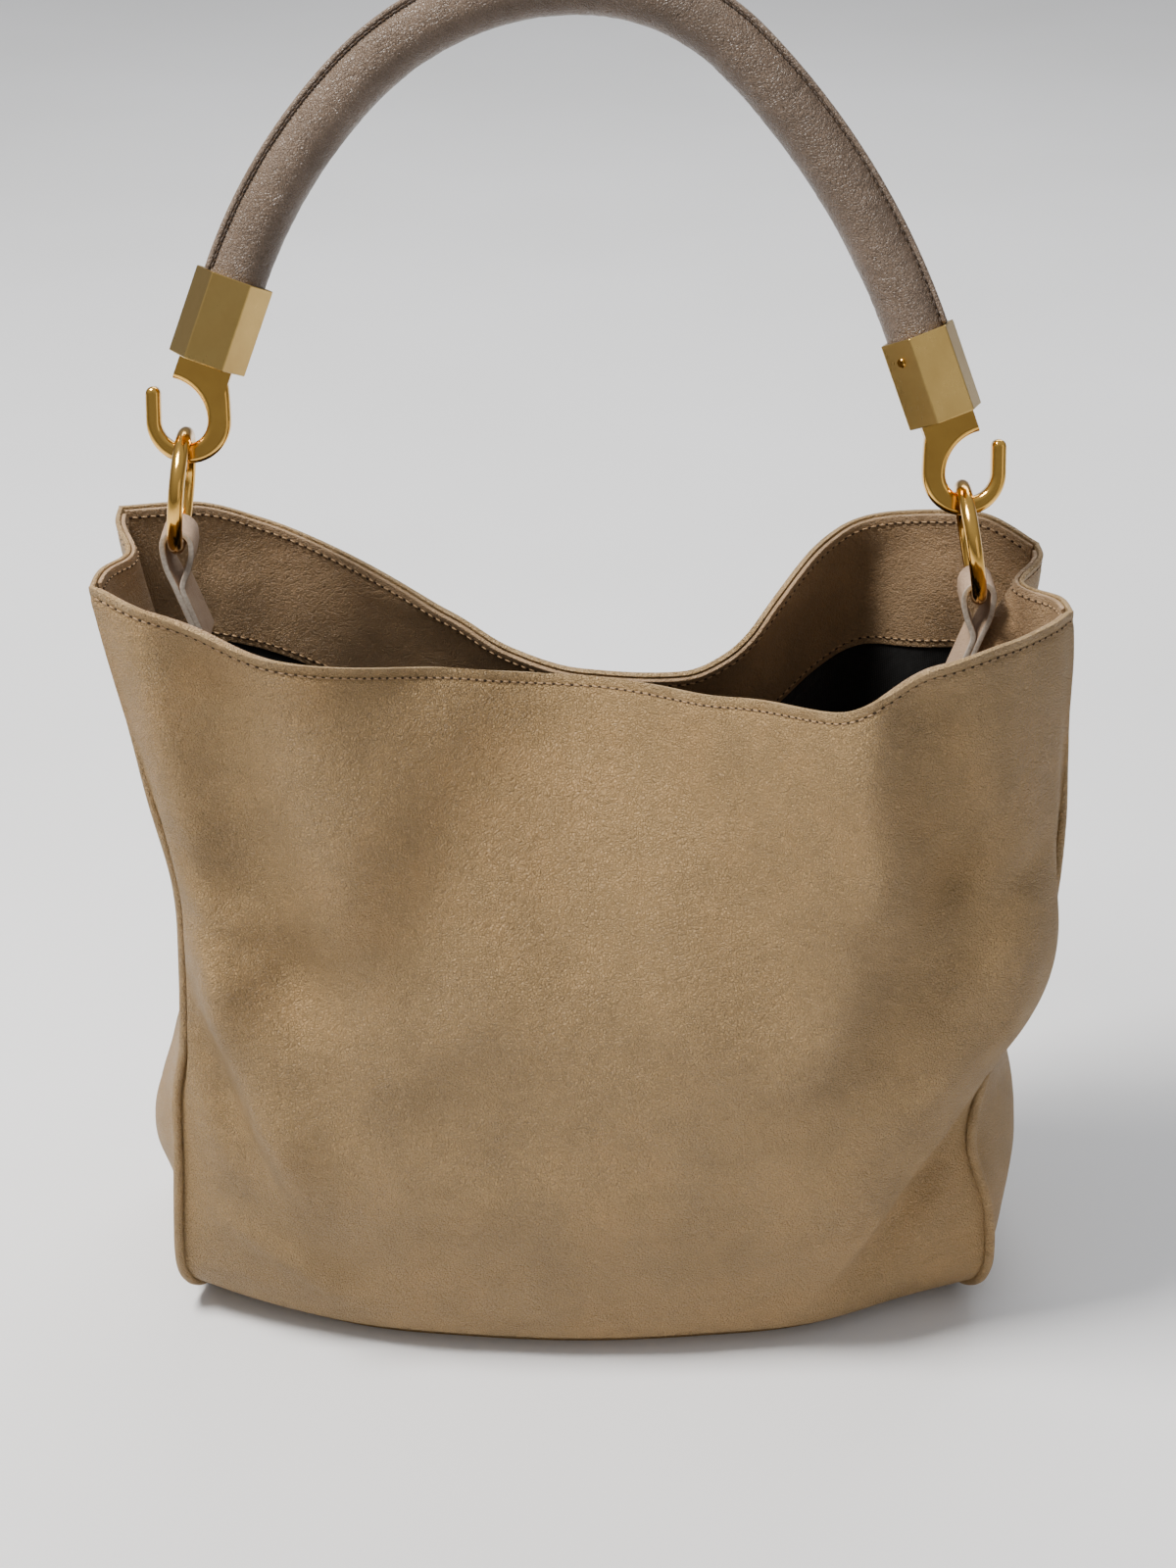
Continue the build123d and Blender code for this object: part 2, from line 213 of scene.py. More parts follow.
def turned_frames(path):
    """Two side directions that don't twist along a path."""
    tangents = tangents_of(path)
    start = np.cross(tangents[0], (0.31, 0.95, 0.05))
    sides = [start / np.linalg.norm(start)]
    for tangent in tangents[1:]:
        side = sides[-1] - tangent * np.dot(sides[-1], tangent)
        sides.append(side / np.linalg.norm(side))
    sides = np.array(sides)
    return sides, np.cross(tangents, sides)


def tube(name, path, radius, materials, sides=12, wear=None):
    """A round tube along a path; radius is a number or one row of radii per point."""
    across, up = turned_frames(path)
    angles = np.linspace(0, 2 * pi, sides, endpoint=False)
    reach = np.broadcast_to(radius, (len(path), sides))[..., None]
    rings = (
        path[:, None]
        + across[:, None] * np.cos(angles)[None, :, None] * reach
        + up[:, None] * np.sin(angles)[None, :, None] * reach
    )
    faces = [face[::-1] for face in grid_faces(len(path), sides, closed=True)]
    faces.append(tuple(range(sides)))
    faces.append(tuple(range(len(path) * sides - 1, (len(path) - 1) * sides - 1, -1)))
    return place_mesh(name, rings.reshape(-1, 3), faces, materials, wear=wear)


def even_steps(path, pitch):
    """Points, directions and shares of the length at even steps along a path."""
    lengths = lengths_along(path)
    count = max(int(lengths[-1] / pitch), 1)
    stops = (np.arange(count) + 0.5) * lengths[-1] / count
    ahead = points_at(stops + 0.5, lengths, path)
    behind = points_at(stops - 0.5, lengths, path)
    return points_at(stops, lengths, path), unit(ahead - behind), stops / lengths[-1]


def stitches(name, path, normals, thread, painted_hole_shade, length=2.3, thick=0.42, lift=0.16, pitch=stitch_pitch):
    """A row of sewn stitches: a plump thread between two needle holes, over and over; each hole is a flat
    lump painted near-black as painted shade.
    """
    places, directions, shares = even_steps(path, pitch)
    out = points_at(shares, np.linspace(0, 1, len(path)), normals)
    points, faces, kinds = [], [], []
    around = 6
    steps = (-1, -0.62, 0, 0.62, 1)
    last = len(steps) - 1
    thread_slant = 0.09
    hole_half, hole_wide, hole_tall = 0.72, 0.62, 0.24

    def lump(middle, ahead, side, up, half, wide, tall, kind):
        base = len(points)
        for step in steps:
            girth = max(1 - abs(step) ** 2.4, 0.12) ** 0.5
            for k in range(around):
                angle = 2 * pi * k / around
                points.append(
                    middle
                    + ahead * half * step
                    + side * wide * girth * cos(angle)
                    + up * tall * girth * sin(angle)
                )
        for ring in range(last):
            for k in range(around):
                a = base + ring * around + k
                b = base + ring * around + (k + 1) % around
                faces.append((a, b, b + around, a + around))
                kinds.append(kind)
        faces.append(tuple(base + k for k in reversed(range(around))))
        faces.append(tuple(base + last * around + k for k in range(around)))
        kinds.extend((kind, kind))

    for place, ahead, up in zip(places, directions, out):
        side = np.cross(ahead, up)
        side /= np.linalg.norm(side)
        up = np.cross(side, ahead)
        slant = ahead * cos(thread_slant) + side * sin(thread_slant)
        lump(place + up * lift, slant, side, up, length / 2, thick, thick, 0)
        # painted shade: a flat near-black lump stands for the shadow inside each needle hole
        lump(place + ahead * pitch / 2, ahead, side, up, hole_half, hole_wide, hole_tall, 1)
    return place_mesh(name, points, faces, [thread, painted_hole_shade], kinds=kinds)


# ---- Materials ----


class Paint:
    """A new node material, wired one node at a time."""

    def __init__(self, name):
        self.material = bpy.data.materials.new(name)
        self.material.use_nodes = True
        self.tree = self.material.node_tree
        self.shader = self.tree.nodes["Principled BSDF"]
        self.place = self.add("ShaderNodeTexCoord").outputs["Object"]

    def add(self, kind, **settings):
        node = self.tree.nodes.new(kind)
        for name, value in settings.items():
            setattr(node, name, value)
        return node

    def wire(self, source, target):
        self.tree.links.new(source, target)

    def math(self, operation, first, second):
        node = self.add("ShaderNodeMath", operation=operation)
        for socket, value in zip(node.inputs, (first, second)):
            if isinstance(value, (int, float)):
                socket.default_value = value
            else:
                self.wire(value, socket)
        return node.outputs[0]

    def noise(self, scale, detail=3, rough=0.5, place=None, distortion=0.0):
        node = self.add("ShaderNodeTexNoise")
        node.inputs["Scale"].default_value = scale
        node.inputs["Detail"].default_value = detail
        node.inputs["Roughness"].default_value = rough
        node.inputs["Distortion"].default_value = distortion
        self.wire(place or self.place, node.inputs["Vector"])
        return node.outputs["Fac"]

    def cells(self, scale, feature="DISTANCE_TO_EDGE", place=None):
        node = self.add("ShaderNodeTexVoronoi", feature=feature)
        node.inputs["Scale"].default_value = scale
        self.wire(place or self.place, node.inputs["Vector"])
        return node.outputs["Distance"]

    def ramp(self, source, *stops):
        node = self.add("ShaderNodeValToRGB")
        elements = node.color_ramp.elements
        for spare in list(elements)[2:]:
            elements.remove(spare)
        while len(elements) < len(stops):
            elements.new(0.5)
        for element, (position, colour) in zip(elements, stops):
            element.position = position
            element.color = (*colour, 1)
        self.wire(source, node.inputs["Fac"])
        return node.outputs["Color"]

    def grey(self, source, low, high, start=0.0, end=1.0):
        node = self.add("ShaderNodeMapRange")
        values = (start, end, low, high)
        for name, value in zip(("From Min", "From Max", "To Min", "To Max"), values):
            node.inputs[name].default_value = value
        self.wire(source, node.inputs["Value"])
        return node.outputs["Result"]

    def mix(self, share, first, second, blend="MIX"):
        node = self.add("ShaderNodeMix", data_type="RGBA", blend_type=blend)
        for socket, value in ((node.inputs[0], share), (node.inputs[6], first), (node.inputs[7], second)):
            if isinstance(value, tuple):
                socket.default_value = (*value, 1)
            elif isinstance(value, (int, float)):
                socket.default_value = value
            else:
                self.wire(value, socket)
        return node.outputs[2]

    def stretch(self, scale):
        node = self.add("ShaderNodeMapping")
        node.inputs["Scale"].default_value = scale
        self.wire(self.place, node.inputs["Vector"])
        return node.outputs["Vector"]

    def relief(self, *layers):
        """Stacks (height, depth in metres) layers into one bump chain on the shader."""
        normal = None
        for height, depth in layers:
            node = self.add("ShaderNodeBump")
            node.inputs["Strength"].default_value = 1
            node.inputs["Distance"].default_value = depth
            self.wire(height, node.inputs["Height"])
            if normal is not None:
                self.wire(normal, node.inputs["Normal"])
            normal = node.outputs["Normal"]
        self.wire(normal, self.shader.inputs["Normal"])

    def set(self, **values):
        for name, value in values.items():
            socket = self.shader.inputs[name.replace("_", " ").title().replace("Ior", "IOR")]
            socket.default_value = (*value, 1) if isinstance(value, tuple) else value


def leather_paint(name, tones, worn, grain=1150, depth=0.00016, rough=(0.44, 0.62), mottle=9):
    """Pebbled leather: three mottled tones, worn edges, cell grain with painted shade darkening its valleys,
    and soft creases.
    """
    paint = Paint(name)
    clouds = paint.noise(mottle, 4, 0.55, distortion=0.4)
    patches = paint.noise(mottle * 6, 5, 0.6)
    mixed = paint.math("ADD", paint.math("MULTIPLY", clouds, 0.6), paint.math("MULTIPLY", patches, 0.4))
    colour = paint.ramp(mixed, (0.36, tones[0]), (0.5, tones[1]), (0.64, tones[2]))
    wander = paint.noise(260, 2)
    shifted = paint.add("ShaderNodeVectorMath", operation="ADD")
    push = paint.add("ShaderNodeVectorMath", operation="SCALE")
    paint.wire(paint.place, shifted.inputs[0])
    paint.wire(wander, push.inputs[0])
    push.inputs["Scale"].default_value = 0.0011
    paint.wire(push.outputs[0], shifted.inputs[1])
    pebbles = paint.cells(grain, place=shifted.outputs[0])
    large = paint.cells(grain * 0.42, place=shifted.outputs[0])
    pores = paint.noise(grain * 3.2, 2)
    valley = paint.grey(pebbles, 0.0, 1.0, 0.0, 0.22)
    # painted shade: the valleys between the pebbles of the grain are darkened in the base colour
    painted_grain_valley_shade = paint.grey(valley, 0.22, 0.0)
    colour = paint.mix(painted_grain_valley_shade, colour, tuple(c * 0.45 for c in tones[0]))
    wear = paint.add("ShaderNodeAttribute", attribute_name="wear").outputs["Fac"]
    rubbed = paint.math("MULTIPLY", wear, paint.grey(paint.noise(120, 4), 0.25, 1.0, 0.35, 0.65))
    colour = paint.mix(rubbed, colour, worn)
    paint.wire(colour, paint.shader.inputs["Base Color"])
    gloss = paint.grey(paint.noise(38, 4, 0.6), rough[0], rough[1], 0.3, 0.7)
    paint.wire(gloss, paint.shader.inputs["Roughness"])
    creases = paint.noise(70, 5, 0.62, distortion=1.1)
    paint.relief(
        (creases, 0.0016),
        (paint.grey(large, 0.0, 1.0, 0.0, 0.3), depth * 0.7),
        (valley, depth),
        (pores, depth * 0.35),
    )
    paint.set(specular_ior_level=0.36, sheen_weight=0.02, sheen_roughness=0.4)
    return paint.material


def metal_paint(name, colour, worn, rough, brush=None):
    """Plated metal with faint rubbing and, where brush is given, fine satin lines."""
    paint = Paint(name)
    smudges = paint.noise(55, 4, 0.6)
    tone = paint.mix(paint.grey(smudges, 0.0, 0.55, 0.4, 0.75), colour, worn)
    paint.wire(tone, paint.shader.inputs["Base Color"])
    fine = paint.stretch(brush) if brush else paint.stretch((900, 900, 900))
    lines = paint.noise(1.0, 3, 0.6, place=fine)
    film = paint.math("MULTIPLY", paint.grey(smudges, 0.85, 1.25), rough)
    gloss = paint.math("ADD", film, paint.grey(lines, -0.03, 0.05))
    paint.wire(gloss, paint.shader.inputs["Roughness"])
    paint.relief((smudges, 0.00012), (lines, 0.000012 if brush else 0.000004))
    paint.set(metallic=1.0)
    return paint.material


def cloth_paint():
    """Black textile lining with a plain weave."""
    paint = Paint("black_textile_finish")
    warp = paint.add("ShaderNodeTexWave", wave_type="BANDS", bands_direction="X")
    weft = paint.add("ShaderNodeTexWave", wave_type="BANDS", bands_direction="Z")
    for band in (warp, weft):
        band.inputs["Scale"].default_value = 420
        band.inputs["Distortion"].default_value = 0.6
        paint.wire(paint.place, band.inputs["Vector"])
    weave = paint.math("MULTIPLY", warp.outputs["Fac"], weft.outputs["Fac"])
    colour = paint.ramp(weave, (0.1, (0.006, 0.0058, 0.0056)), (0.8, (0.018, 0.017, 0.016)))
    paint.wire(colour, paint.shader.inputs["Base Color"])
    creases = paint.noise(28, 4, 0.6)
    paint.relief((creases, 0.004), (weave, 0.00012))
    paint.set(roughness=0.85, sheen_weight=0.1, specular_ior_level=0.2)
    return paint.material


def plain_paint(name, dark, light, scale, rough, depth):
    """Thread, raw edges, board and filling: two tones of fibre."""
    paint = Paint(name)
    fibre = paint.noise(scale, 5, 0.7)
    paint.wire(paint.ramp(fibre, (0.35, dark), (0.65, light)), paint.shader.inputs["Base Color"])
    paint.relief((fibre, depth))
    paint.set(roughness=rough, specular_ior_level=0.25)
    return paint.material


tan = leather_paint(
    "tan_leather_finish",
    ((0.3, 0.193, 0.085), (0.36, 0.23, 0.1), (0.412, 0.254, 0.107)),
    (0.485, 0.34, 0.178),
    grain=900,
    depth=0.00042,
)
facing_leather = leather_paint(
    "facing_leather_finish",
    ((0.29, 0.188, 0.098), (0.35, 0.225, 0.118), (0.4, 0.25, 0.128)),
    (0.48, 0.33, 0.2),
    grain=1000,
    depth=0.00026,
)
tab_leather = leather_paint(
    "tab_leather_finish",
    ((0.33, 0.22, 0.145), (0.41, 0.275, 0.18), (0.46, 0.31, 0.2)),
    (0.5, 0.37, 0.27),
    grain=1300,
)
handle_leather = leather_paint(
    "handle_leather_finish",
    ((0.11, 0.077, 0.054), (0.145, 0.102, 0.072), (0.18, 0.128, 0.092)),
    (0.25, 0.185, 0.135),
    grain=900,
    depth=0.00022,
    rough=(0.26, 0.44),
)
gold = metal_paint("gold_finish", (0.8, 0.47, 0.11), (0.6, 0.33, 0.08), 0.12)
satin_gold = metal_paint("satin_gold_finish", (0.6, 0.41, 0.14), (0.46, 0.29, 0.09), 0.27, (2400, 2400, 60))
black_textile = cloth_paint()
tan_thread = plain_paint("tan_thread_finish", (0.27, 0.17, 0.09), (0.4, 0.27, 0.15), 2500, 0.7, 0.0001)
dark_thread = plain_paint("dark_thread_finish", (0.05, 0.036, 0.028), (0.1, 0.075, 0.058), 2500, 0.7, 0.0001)
# painted shade: near-black finish for the lumps that stand for the shadow inside the needle holes
painted_needle_hole_shade = plain_paint("painted_needle_hole_shade_finish", (0.03, 0.018, 0.01), (0.06, 0.036, 0.02), 900, 0.9, 0.00005)
raw_edge = plain_paint("raw_edge_finish", (0.36, 0.31, 0.26), (0.55, 0.49, 0.42), 700, 0.85, 0.0002)
board_finish = plain_paint("board_finish", (0.16, 0.13, 0.1), (0.26, 0.22, 0.17), 500, 0.9, 0.0001)
filling_finish = plain_paint("filling_finish", (0.5, 0.48, 0.44), (0.7, 0.68, 0.64), 900, 0.95, 0.0004)


# ---- The walls of the bag ----
# Each wall is a fan of soft curves over its height, in millimetres.  Half widths are
# of the side seams; depths are how far out from the middle plane the leather stands
# at the seam, the roll beside it, the lobe of the mouth, half way in and the middle.

section_places = (-1, -0.86, -0.6, -0.3, 0, 0.3, 0.6, 0.84, 1)
corner = [(foot, 30), (5, 40), (10, 47.5), (20, 55), (30, 57)]

front_wall = {
    "facing": -1,
    "left": curve(
        (foot, 159), (10, 165), (30, 169), (75, 167), (108, 166), (135, 161), (195, 159),
        (250, 171), (305, 183), (rim_top, mouth),
    ),
    "right": curve(
        (foot, 160), (10, 167), (30, 171), (52, 170), (88, 160), (120, 165), (150, 175),
        (200, 187), (250, 190), (300, 190), (rim_top, mouth),
    ),
    "left_roll": curve((foot, 0), (90, 2), (140, 8), (200, 8), (260, 3), (rim_top, 0)),
    "right_roll": curve((foot, 0), (78, 0), (108, 6), (135, 12), (168, 17), (235, 6), (rim_top, 2)),
    "depths": (
        curve(*corner, (90, 54), (150, 50), (rim_top, 42)),
        curve((foot, 46), (10, 60), (30, 68), (85, 71), (130, 66), (190, 62), (rim_top, 57)),
        curve((foot, 64), (9, 75), (30, 81), (85, 86), (150, 80), (225, 74), (311, 64)),
        curve((foot, 72), (9, 83), (30, 89), (85, 92), (150, 84), (225, 60), (292, 27)),
        curve((foot, 75), (9, 86), (30, 91), (85, 94), (150, 81), (225, 42), (282, 8)),
        curve((foot, 72), (9, 83), (30, 89), (85, 92), (150, 85), (225, 66), (289, 42)),
        curve((foot, 64), (9, 75), (30, 81), (85, 86), (150, 86), (225, 87), (306, 86)),
        curve((foot, 46), (10, 58), (30, 64), (85, 67), (130, 72), (200, 75), (rim_top, 72)),
        curve(*corner, (90, 53), (150, 48), (rim_top, 42)),
    ),
    "rim": curve(
        (-1, rim_top + 4), (-0.87, 329), (-0.7, 317), (-0.57, 311), (-0.31, 294), (0, 281),
        (0.22, 285), (0.38, 292), (0.5, 299), (0.6, 309), (0.7, 320), (0.85, 325), (1, 325),
    ),
}

back_wall = {
    "facing": 1,
    "left": curve(
        (foot, 159), (10, 166), (30, 170), (80, 170), (140, 168), (210, 172), (rim_top, mouth + 1)
    ),
    "right": curve(
        (foot, 160), (10, 167), (30, 171), (80, 171), (140, 174), (210, 182), (rim_top, mouth)
    ),
    "left_roll": curve((foot, 0), (90, 2), (150, 6), (230, 4), (rim_top, 0)),
    "right_roll": curve((foot, 0), (90, 4), (150, 8), (230, 4), (rim_top, 0)),
    "depths": (
        curve(*corner, (90, 55), (150, 51), (rim_top, 46)),
        curve((foot, 46), (10, 60), (30, 68), (85, 71), (150, 68), (225, 62), (rim_top, 55)),
        curve((foot, 60), (10, 72), (30, 79), (85, 83), (150, 76), (225, 60), (311, 60)),
        curve((foot, 63), (10, 75), (30, 82), (85, 86), (150, 80), (225, 54), (292, 32)),
        curve((foot, 64), (10, 76), (30, 82), (85, 86), (150, 77), (225, 38), (282, 6)),
        curve((foot, 63), (10, 75), (30, 82), (85, 86), (150, 80), (225, 40), (289, 5)),
        curve((foot, 60), (10, 72), (30, 79), (85, 83), (150, 81), (225, 77), (311, 70)),
        curve((foot, 46), (10, 60), (30, 68), (85, 71), (150, 70), (225, 64), (rim_top, 56)),
        curve(*corner, (90, 55), (150, 50), (rim_top, 42)),
    ),
    "rim": curve(
        (-1, rim_top), (-0.85, 329), (-0.7, 319), (-0.57, 309), (-0.4, 298), (-0.28, 289),
        (-0.16, 279), (0, 275), (0.22, 275), (0.32, 282), (0.42, 297), (0.52, 309), (0.7, 319),
        (0.87, 325), (1, 316),
    ),
}


def crease(x, z, start, end, width, depth, shoulder=0.5):
    """A soft valley between two points of a wall, with a low ridge beside it."""
    (x0, z0), (x1, z1) = start, end
    length = ((x1 - x0) ** 2 + (z1 - z0) ** 2) ** 0.5
    along = ((x - x0) * (x1 - x0) + (z - z0) * (z1 - z0)) / length
    beside = ((x - x0) * (z1 - z0) - (z - z0) * (x1 - x0)) / length
    ends = fade(along, -width, width) * fade(along, length + width, length - width)
    valley = bump(beside, 0, width)
    ridge = bump(beside, width * 1.7, width)
    return depth * ends * (shoulder * ridge - valley)


front_creases = (
    ((-150, 334), (-114, 160), 19, 12.0, 0.6),
    ((-118, 190), (-96, 96), 14, 3.0, 0.4),
    ((-150, 72), (-92, 36), 12, 3.0, 0.5),
    ((122, 318), (150, 212), 16, 11.0, 0.5),
    ((150, 235), (120, 130), 18, 5.5, 0.5),
    ((170, 150), (150, 112), 9, 3.0, 0.5),
    ((-24, 272), (-84, 160), 24, 4.8, 0.4),
    ((40, 262), (86, 155), 22, 5.5, 0.4),
    ((-66, 128), (34, 92), 26, 3.0, 0.3),
    ((-166, 236), (-138, 205), 7, 3.0, 0.4),
    ((-164, 206), (-130, 182), 6, 2.6, 0.4),
    ((186, 236), (150, 190), 9, 3.0, 0.4),
)
front_rolls = (
    ((194, 172), (108, 48), 13.0, 36, 5.5),
    ((-120, 88), (-160, 190), 11.0, 26, 5.0),
    ((-104, 30), (-150, 60), 3.0, 16, 5.0),
)
back_creases = (
    ((-152, 300), (-128, 170), 14, 3.6, 0.5),
    ((150, 300), (126, 160), 15, 3.8, 0.5),
    ((-165, 130), (-110, 78), 11, 3.0, 0.5),
    ((168, 140), (100, 70), 12, 3.4, 0.6),
    ((70, 262), (36, 150), 20, 2.6, 0.5),
    ((-60, 250), (-20, 130), 24, 1.8, 0.4),
)
back_rolls = (
    ((190, 168), (120, 70), 7.0, 30, 6.5),
    ((-118, 84), (-166, 160), 6.0, 26, 6.5),
)


def rolled_fold(x, z, start, end, height, above, below):
    """Leather rolled over a line: it swells gently above and drops steeply below."""
    (x0, z0), (x1, z1) = start, end
    length = ((x1 - x0) ** 2 + (z1 - z0) ** 2) ** 0.5
    along = ((x - x0) * (x1 - x0) + (z - z0) * (z1 - z0)) / length
    beside = ((x - x0) * (z1 - z0) - (z - z0) * (x1 - x0)) / length
    ends = fade(along, -above, above) * fade(along, length + above, length - above)
    swell = np.where(beside > 0, bump(beside, 0, above), bump(beside, 0, below))
    return height * ends * (swell - 0.45 * bump(beside, -2.4 * below, 1.7 * below))


def seam_line(wall, side, z):
    """Where a side seam runs: x and y at heights z."""
    end = 0 if side == "left" else -1
    sign = -1 if side == "left" else 1
    return sign * wall[side](z), wall["facing"] * wall["depths"][end](z)


def wall_grid(wall, creases, rolls, rows, columns):
    """Grid of points on the outside face of a wall, from its foot to its rim."""
    shares = np.linspace(0, 1, rows)
    across = np.sin(np.linspace(-1, 1, columns) * 1.45) / sin(1.45)
    top = wall["rim"](across)
    heights = foot + shares[:, None] * (top - foot)[None, :]
    places = np.array(section_places)
    points = np.zeros((rows, columns, 3))
    left, right = wall["left"](heights), wall["right"](heights)
    half = np.where(across < 0, left, right)
    roll = np.where(across < 0, wall["left_roll"](heights), wall["right_roll"](heights))
    stand_out = bump(np.abs(across), 0.93, 0.16) * fade(np.abs(across), 1.0, 0.95)
    points[..., 0] = across[None, :] * half + np.sign(across)[None, :] * roll * stand_out[None, :]
    depths = np.stack([depth(heights) for depth in wall["depths"]], -1)
    span = np.clip(np.searchsorted(places, across) - 1, 0, len(places) - 2)
    widths = np.diff(places)
    rises = np.diff(depths, axis=-1) / widths
    slopes = np.zeros_like(depths)
    weight = widths[1:] / (widths[1:] + widths[:-1])
    slopes[..., 1:-1] = rises[..., :-1] * weight + rises[..., 1:] * (1 - weight)
    slopes[..., 0], slopes[..., -1] = rises[..., 0], rises[..., -1]
    t = (across - places[span]) / widths[span]
    index = np.broadcast_to(span, heights.shape)[..., None]
    first = np.take_along_axis(depths, index, -1)[..., 0]
    second = np.take_along_axis(depths, index + 1, -1)[..., 0]
    slope_first = np.take_along_axis(slopes, index, -1)[..., 0]
    slope_second = np.take_along_axis(slopes, index + 1, -1)[..., 0]
    depth = (
        (1 + 2 * t) * (1 - t) ** 2 * first
        + t * t * (3 - 2 * t) * second
        + (t * (1 - t) ** 2 * slope_first - t * t * (1 - t) * slope_second) * widths[span]
    )
    points[..., 2] = heights
    calm = fade(np.abs(across), 1.0, 0.86)[None, :] * fade(heights, foot, 34)
    near_rim = fade(top[None, :] - heights, -6, 26)
    for start, end, width, deep, shoulder in creases:
        depth = depth + crease(points[..., 0], heights, start, end, width, deep, shoulder) * calm * (
            0.35 + 0.65 * near_rim
        )
    for line in rolls:
        depth = depth + rolled_fold(points[..., 0], heights, *line) * calm
    points[..., 1] = wall["facing"] * depth
    slack = soft_noise(points, 62, 3.7) * 1.7 + soft_noise(points, 27, 9.1) * 0.55
    points[..., 1] += wall["facing"] * slack * calm * near_rim
    return points


def wall_surface(wall, creases, rolls, rows=200, columns=210):
    return relax(wall_grid(wall, creases, rolls, rows, columns), 4)


def inset_grid(surface, inset, sign, axis=1):
    """The surface moved inward along its own normals."""
    return surface - outward_normals(surface, sign, axis) * inset


def drops_of(surface):
    """Distance of every point below the top of its own column."""
    steps = np.linalg.norm(np.diff(surface, axis=0), axis=2)
    return np.concatenate([np.cumsum(steps[::-1], axis=0)[::-1], np.zeros((1, surface.shape[1]))])


def band(surface, top_drop, foot_drop, rows):
    """Part of a surface between two distances below the rim, stopping just above its foot."""
    below = drops_of(surface)
    ends = np.minimum(foot_drop, below[0] - foot_clear)
    columns = []
    for column in range(surface.shape[1]):
        wanted = np.linspace(ends[column], top_drop, rows)
        columns.append(points_at(wanted, below[::-1, column], surface[::-1, column]))
    return np.stack(columns, 1)


def wear_of(surface, reach=3.0, amount=0.45):
    """Rubbed share of every point, strongest along the rim."""
    return amount * np.exp(-((drops_of(surface) / reach) ** 2))


def outward_first(surface, sign, axis):
    """Turns a grid so that its faces look out of the bag."""
    if np.mean(grid_normals(surface)[..., axis]) * sign < 0:
        return surface[:, ::-1]
    return surface


def stitch_groove(surface, drop, sign, axis=1, width=1.5, depth=0.5):
    """Presses the leather in along its row of stitches."""
    groove = depth * bump(drops_of(surface), drop, width)
    return surface - outward_normals(surface, sign, axis) * groove[..., None]


def rim_grid(surface, rows_near=14, near=9.0):
    """Adds rows close under the rim so that the turned edge can be rounded."""
    lower = surface[drops_of(surface).mean(1) > near + 2]
    close = band(surface, 0, near, rows_near)
    return np.concatenate([lower, close])


def stitch_line(surface, drop, sign, axis):
    """Path and normals of a row of stitches at a distance below the top."""
    path = band(surface, drop, drop + 0.01, 2)[1]
    rows = np.abs(drops_of(surface) - drop).argmin(0)
    out = outward_normals(surface, sign, axis)[rows, np.arange(surface.shape[1])]
    return path, out


front_surface = wall_surface(front_wall, front_creases, front_rolls)
back_surface = wall_surface(back_wall, back_creases, back_rolls)


def make_wall(word, surface, sign):
    """Leather, facing, lining and stitches of the front or back wall."""
    surface = outward_first(surface, sign, 1)
    skin = stitch_groove(rim_grid(surface), rim_stitch_drop, sign)
    panel = shell(word + "_leather", skin, leather, [tan], wear_of(skin), edge=0.8)
    inner = outward_first(inset_grid(surface, facing_inset, sign), sign, 1)
    strip = band(inner, 0.9, facing_height, 46)
    strip = strip[:, 4:-4]
    inside = shell(
        word + "_facing_leather", strip, facing, [facing_leather, raw_edge], wear_of(strip, 3), 0.45
    )
    cloth = outward_first(inset_grid(surface, lining_inset, sign), sign, 1)
    cloth = band(cloth, facing_height - lining_tuck, np.inf, 90)
    cloth = cloth[:, 5:-5]
    sag = soft_noise(cloth, 30, 21.0) * 0.35
    cloth[..., 1] -= sign * (0.2 + np.abs(sag))
    cover = shell(word + "_lining_cloth", cloth, lining, [black_textile])
    path, out = stitch_line(skin, rim_stitch_drop, sign, 1)
    trim = slice(3, -3)
    rim_row = stitches(word + "_rim_stitching", path[trim], out[trim], tan_thread, painted_needle_hole_shade)
    inner_face = inset_grid(strip, facing, sign)
    path, out = stitch_line(inner_face, rim_stitch_drop - 0.9, -sign, 1)
    inner_rim = stitches(word + "_facing_rim_stitching", path[trim], out[trim], tan_thread, painted_needle_hole_shade)
    path, out = stitch_line(inner_face, facing_height - 0.9 - 3.4, -sign, 1)
    inner_foot = stitches(word + "_facing_foot_stitching", path[trim], out[trim], tan_thread, painted_needle_hole_shade)
    return {
        "leather": panel, "facing": inside, "lining": cover,
        "rows": (rim_row, inner_rim, inner_foot), "skin": skin, "strip": strip, "cloth": cloth,
    }


front = make_wall("front", front_surface, -1)
back = make_wall("back", back_surface, 1)


# ---- Side panels, folded inward below the mouth ----

folds = {
    "left": curve(
        (foot, 163), (12, 173), (30, 175), (44, 173), (72, 184), (98, 178), (130, 164),
        (175, 150), (225, 146), (262, 155), (295, 172), (rim_top, 181),
    ),
    "right": curve(
        (foot, 164), (12, 176), (30, 184), (60, 187), (95, 184), (130, 171), (175, 156),
        (225, 144), (262, 147), (290, 160), (312, 174), (rim_top, 181),
    ),
}


